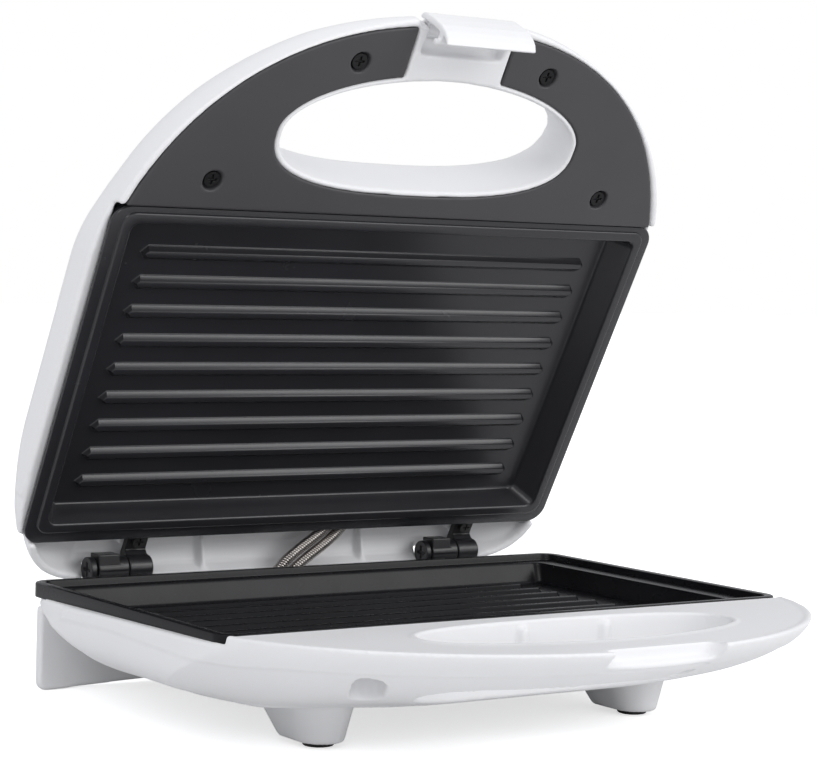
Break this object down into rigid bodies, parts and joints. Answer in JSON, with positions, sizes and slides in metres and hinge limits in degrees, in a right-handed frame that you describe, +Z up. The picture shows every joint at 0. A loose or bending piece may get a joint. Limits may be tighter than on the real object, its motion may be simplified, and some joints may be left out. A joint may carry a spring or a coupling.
{
  "type": "sandwich toaster",
  "caption": "Clam-shell countertop sandwich toaster with ribbed non-stick plates, hinged lid, arched carry handle and snap latch, standing open.",
  "frame": {"origin": "centre of the bounding box on the table plane under the feet, with the lid standing open", "axes": "+Z up, handle and latch at the front towards -Y, hinges and rear stand wall towards +Y, +X to the right seen from the front"},
  "size_m": [0.239, 0.2377, 0.2444],
  "materials": {
    "white_shell": "glossy white moulding",
    "dark_panel": "satin charcoal moulding",
    "non_stick": "non-stick coated aluminium casting",
    "hinge_black": "black painted steel",
    "bright_steel": "plain bright steel",
    "zinc_screw": "zinc plated",
    "element": "oxidised sheathed element",
    "reflector": "aluminised steel sheet",
    "foot_rubber": "matt",
    "ceramic": "pale insulating moulding",
    "black_plastic": "matt",
    "red_lens": "clear red",
    "green_lens": "clear green"
  },
  "bodies": {
    "base": {"base_shell": "white_shell", "rear_stand": "white_shell", "front_feet": "white_shell", "base_deck": "white_shell", "lower_plate": "non_stick", "lower_plate_screws": "zinc_screw", "lower_element": "element", "lower_reflector": "reflector", "lower_clips": "bright_steel", "thermostat": "ceramic", "thermal_fuse": "bright_steel", "terminal_block": "ceramic", "cord_inlet": "black_plastic", "hinge_bracket_left": "hinge_black", "hinge_bracket_right": "hinge_black", "bracket_screws": "zinc_screw", "hinge_pins": "hinge_black", "foot_pads": "foot_rubber", "deck_screws": "zinc_screw", "conduit_left": "bright_steel", "conduit_right": "bright_steel"},
    "lid": {"lid_shell": "white_shell", "lid_panel": "dark_panel", "upper_plate": "non_stick", "upper_plate_screws": "zinc_screw", "upper_element": "element", "upper_reflector": "reflector", "upper_clips": "bright_steel", "panel_screws": "hinge_black", "hinge_arm_left": "hinge_black", "hinge_arm_right": "hinge_black", "arm_screws": "hinge_black", "power_lens": "red_lens", "ready_lens": "green_lens", "lamp_holder": "ceramic", "latch_pin": "bright_steel"},
    "latch": {"latch_clip": "white_shell"}
  },
  "joints": [
    {"name": "lid_hinge", "type": "hinge", "parent": "base", "child": "lid", "pos_m": [0, 0.1074, 0.04322], "axis": [-1, 0, 0], "range_deg": [-61, 44], "deforming": ["conduit_left", "conduit_right"]},
    {"name": "latch_pivot", "type": "hinge", "parent": "lid", "child": "latch", "pos_m": [0, 0.00394, 0.23993], "axis": [-1, 0, 0], "range_deg": [-10, 25]}
  ]
}
